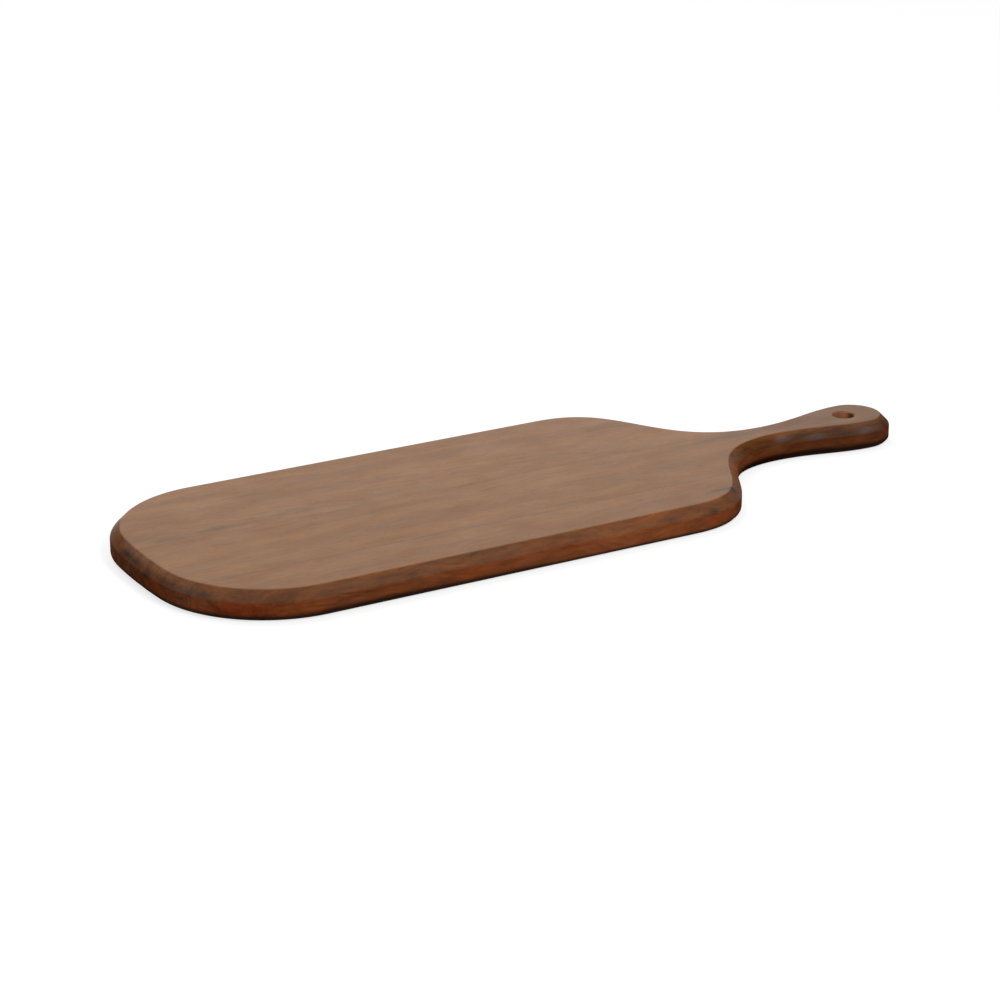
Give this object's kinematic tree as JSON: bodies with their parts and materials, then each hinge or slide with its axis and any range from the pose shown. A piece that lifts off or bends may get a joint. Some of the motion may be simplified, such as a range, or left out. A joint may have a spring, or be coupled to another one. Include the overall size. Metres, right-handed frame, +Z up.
{
  "type": "serving board",
  "caption": "Paddle-shaped wooden serving board with a bevelled top edge, rounded free end, soft shoulders and a narrow handle with a round hanging hole.",
  "frame": {"origin": "middle of the bounding box's underside, on the table that the board lies on", "axes": "+X along the board from its free end to the tip of the handle, +Y across it towards the wide stave, +Z up from the table"},
  "size_m": [0.61, 0.222, 0.02],
  "materials": {
    "narrow_stave_wood": "dark red-brown hardwood with a satin oiled surface",
    "middle_stave_wood": "dark red-brown straight-grained hardwood with a satin oiled surface",
    "wide_stave_wood": "dark red-brown flat-sawn hardwood with a satin oiled surface",
    "glue": "set wood glue, seen as a fine dark line"
  },
  "bodies": {
    "root": {"narrow_stave": "narrow_stave_wood", "narrow_stave_glue_line": "glue", "middle_stave": "middle_stave_wood", "wide_stave_glue_line": "glue", "wide_stave": "wide_stave_wood"}
  },
  "joints": []
}
